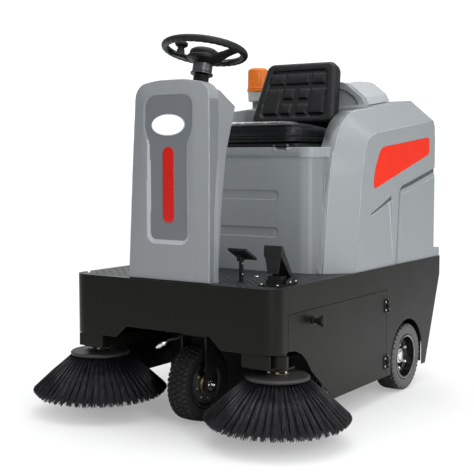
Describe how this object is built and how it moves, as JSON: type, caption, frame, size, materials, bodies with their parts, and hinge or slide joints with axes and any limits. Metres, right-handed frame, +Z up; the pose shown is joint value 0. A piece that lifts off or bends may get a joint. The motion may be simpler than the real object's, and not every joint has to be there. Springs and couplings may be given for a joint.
{
  "type": "ride-on sweeper",
  "caption": "Three-wheeled ride-on floor sweeper with two side brushes, a main roller brush, a rear hopper, a steering column and a driver's seat.",
  "frame": {"origin": "on the floor, under the centre of the overall bounding box", "axes": "+Z up, -Y towards the front of the machine, +X towards the machine's left side (the driver's left)"},
  "size_m": [1.23, 1.474, 1.3241],
  "materials": {
    "chassis_paint": "satin olive-black powder coat",
    "frame_black": "satin black paint",
    "body_grey": "smooth moulded grey, light sheen",
    "console_grey": "smooth moulded grey, light sheen",
    "black_plastic": "fine-textured black",
    "wheel_plastic": "soft-touch black",
    "zinc": "zinc plated",
    "steel_dark": "oiled steel",
    "mat_rubber": "ribbed tread mat",
    "rubber": "smooth rubber",
    "badge_white": "gloss white, blank",
    "red_lens": "gloss red",
    "red_button": "gloss red",
    "tyre": "worn black",
    "rim": "dark gloss enamel",
    "brush_disc": "moulded dark grey",
    "bristles": "black polypropylene bristle",
    "roller_bristles": "dark bristle",
    "hopper_paint": "satin grey paint",
    "filter_paper": "pleated filter medium",
    "aluminium": "cast aluminium",
    "battery_case": "moulded case",
    "orange_panel": "gloss orange-red",
    "seat_vinyl": "semi-gloss black vinyl",
    "beacon_grey": "light grey",
    "amber": "translucent amber"
  },
  "bodies": {
    "machine": {"chassis_frame": "frame_black", "front_panel": "chassis_paint", "side_panels": "chassis_paint", "hinge_leaves": "frame_black", "hinge_pins": "zinc", "deck_mat": "mat_rubber", "deck_bolts": "zinc", "console_front": "console_grey", "console_rear": "console_grey", "badge_plate": "badge_white", "light_strip": "red_lens", "dash_panel": "black_plastic", "column_boot": "rubber", "steering_chain": "steel_dark", "brush_housing": "frame_black", "front_flap": "rubber", "filter": "filter_paper", "fan_housing": "black_plastic", "batteries": "battery_case", "pedal_bracket": "frame_black", "rear_body": "body_grey", "side_inserts": "orange_panel", "beacon_base": "beacon_grey", "beacon_lens": "amber"},
    "left_door": {"left_door": "chassis_paint"},
    "right_door": {"right_door": "chassis_paint"},
    "left_latch": {"left_door_latch": "black_plastic"},
    "right_latch": {"right_door_latch": "black_plastic"},
    "steering": {"steering_shaft": "steel_dark", "steering_wheel": "wheel_plastic"},
    "horn": {"horn_button": "wheel_plastic"},
    "spinner": {"spinner_knob": "black_plastic"},
    "lower_steering": {"lower_steering_shaft": "steel_dark"},
    "fork": {"fork": "frame_black"},
    "front_wheel": {"front_tyre": "tyre", "hub_motor": "steel_dark"},
    "left_wheel": {"left_tyre": "tyre", "left_rim": "rim"},
    "right_wheel": {"right_tyre": "tyre", "right_rim": "rim"},
    "left_arm": {"left_brush_arm": "chassis_paint"},
    "right_arm": {"right_brush_arm": "chassis_paint"},
    "left_brush": {"left_brush_disc": "brush_disc", "left_brush_bristles": "bristles"},
    "right_brush": {"right_brush_disc": "brush_disc", "right_brush_bristles": "bristles"},
    "brush_lift": {"main_brush_frame": "frame_black"},
    "main_brush": {"main_brush_core": "aluminium", "main_brush_bristles": "roller_bristles"},
    "hopper": {"hopper": "hopper_paint"},
    "fan": {"fan_impeller": "aluminium"},
    "accelerator": {"accelerator_pedal": "frame_black"},
    "brake": {"brake_pedal": "frame_black"},
    "key": {"key_switch": "zinc"},
    "direction": {"direction_switch": "black_plastic"},
    "stop": {"stop_button": "red_button"},
    "lid": {"rear_lid": "body_grey"},
    "seat": {"seat_pan": "frame_black", "seat_cushion": "seat_vinyl", "seat_backrest": "seat_vinyl"}
  },
  "joints": [
    {"name": "left_door_swing", "type": "hinge", "parent": "machine", "child": "left_door", "pos_m": [0.426, 0.222, 0.25], "axis": [0, 0, 1], "range_deg": [0, 105]},
    {"name": "right_door_swing", "type": "hinge", "parent": "machine", "child": "right_door", "pos_m": [-0.426, 0.222, 0.25], "axis": [0, 0, -1], "range_deg": [0, 105]},
    {"name": "left_latch_turn", "type": "hinge", "parent": "left_door", "child": "left_latch", "pos_m": [0.43, -0.345, 0.38], "axis": [1, 0, 0], "range_deg": [0, 90]},
    {"name": "right_latch_turn", "type": "hinge", "parent": "right_door", "child": "right_latch", "pos_m": [-0.43, -0.345, 0.38], "axis": [-1, 0, 0], "range_deg": [0, 90]},
    {"name": "fork_steer", "type": "hinge", "parent": "machine", "child": "fork", "pos_m": [0, -0.412, 0.3], "axis": [0, 0, 1], "range_deg": [-55, 55]},
    {"name": "front_wheel_spin", "type": "hinge", "parent": "fork", "child": "front_wheel", "pos_m": [0, -0.412, 0.132], "axis": [1, 0, 0], "continuous": true},
    {"name": "steering_turn", "type": "hinge", "parent": "machine", "child": "steering", "pos_m": [0, -0.36748, 1.28026], "axis": [0, 0.225, 0.9744], "range_deg": [-165, 165]},
    {"name": "lower_shaft_turn", "type": "hinge", "parent": "machine", "child": "lower_steering", "pos_m": [0, -0.5527, 0.43], "axis": [0, 0, 1], "range_deg": [-165, 165]},
    {"name": "horn_press", "type": "slide", "parent": "steering", "child": "horn", "axis": [0, -0.225, -0.9744], "range_m": [0, 0.003], "stiffness_N_per_m": 800, "springref_m": -0.004},
    {"name": "spinner_spin", "type": "hinge", "parent": "steering", "child": "spinner", "pos_m": [-0.104, -0.36267, 1.30111], "axis": [0, 0.225, 0.9744], "continuous": true},
    {"name": "left_wheel_spin", "type": "hinge", "parent": "machine", "child": "left_wheel", "pos_m": [0.3765, 0.41, 0.132], "axis": [1, 0, 0], "continuous": true},
    {"name": "right_wheel_spin", "type": "hinge", "parent": "machine", "child": "right_wheel", "pos_m": [-0.3765, 0.41, 0.132], "axis": [1, 0, 0], "continuous": true},
    {"name": "left_arm_lift", "type": "hinge", "parent": "machine", "child": "left_arm", "pos_m": [0.315, -0.197, 0.262], "axis": [1, 0, 0], "range_deg": [0, 6.2]},
    {"name": "right_arm_lift", "type": "hinge", "parent": "machine", "child": "right_arm", "pos_m": [-0.315, -0.197, 0.262], "axis": [1, 0, 0], "range_deg": [0, 6.2]},
    {"name": "left_brush_spin", "type": "hinge", "parent": "left_arm", "child": "left_brush", "pos_m": [0.375, -0.497, 0.2], "axis": [0, 0, 1], "continuous": true},
    {"name": "right_brush_spin", "type": "hinge", "parent": "right_arm", "child": "right_brush", "pos_m": [-0.375, -0.497, 0.2], "axis": [0, 0, 1], "continuous": true},
    {"name": "main_brush_lift", "type": "hinge", "parent": "machine", "child": "brush_lift", "pos_m": [0, -0.137, 0.3], "axis": [-1, 0, 0], "range_deg": [0, 7]},
    {"name": "main_brush_spin", "type": "hinge", "parent": "brush_lift", "child": "main_brush", "pos_m": [0, 0.048, 0.165], "axis": [1, 0, 0], "continuous": true},
    {"name": "hopper_slide", "type": "slide", "parent": "machine", "child": "hopper", "axis": [0, 1, 0], "range_m": [0, 0.35]},
    {"name": "fan_spin", "type": "hinge", "parent": "machine", "child": "fan", "pos_m": [0, 0.468, 0.64], "axis": [0, 0, 1], "continuous": true},
    {"name": "accelerator_press", "type": "hinge", "parent": "machine", "child": "accelerator", "pos_m": [0.358, -0.43, 0.525], "axis": [1, 0, 0], "range_deg": [0, 14], "stiffness_Nm_per_rad": 8, "springref_deg": -8.59},
    {"name": "brake_press", "type": "hinge", "parent": "machine", "child": "brake", "pos_m": [0.204, -0.458, 0.465], "axis": [1, 0, 0], "range_deg": [0, 14], "stiffness_Nm_per_rad": 14, "springref_deg": -8.59},
    {"name": "key_turn", "type": "hinge", "parent": "machine", "child": "key", "pos_m": [0.072, -0.43068, 1.11701], "axis": [0, 0.3322, 0.9432], "range_deg": [0, 90]},
    {"name": "direction_tilt", "type": "hinge", "parent": "machine", "child": "direction", "pos_m": [-0.072, -0.43135, 1.11513], "axis": [1, 0, 0], "range_deg": [-15, 15]},
    {"name": "stop_press", "type": "slide", "parent": "machine", "child": "stop", "axis": [0, -0.3322, -0.9432], "range_m": [0, 0.005], "stiffness_N_per_m": 2500, "springref_m": -0.004},
    {"name": "lid_open", "type": "hinge", "parent": "machine", "child": "lid", "pos_m": [0, 0.636, 1.157], "axis": [-1, 0, 0], "range_deg": [0, 55]},
    {"name": "seat_tilt", "type": "hinge", "parent": "machine", "child": "seat", "pos_m": [0, -0.16, 0.957], "axis": [1, 0, 0], "range_deg": [0, 60]}
  ],
  "couplings": [
    {"joint": "steering_turn", "follows": "fork_steer", "ratio": 3},
    {"joint": "lower_shaft_turn", "follows": "fork_steer", "ratio": 3}
  ]
}
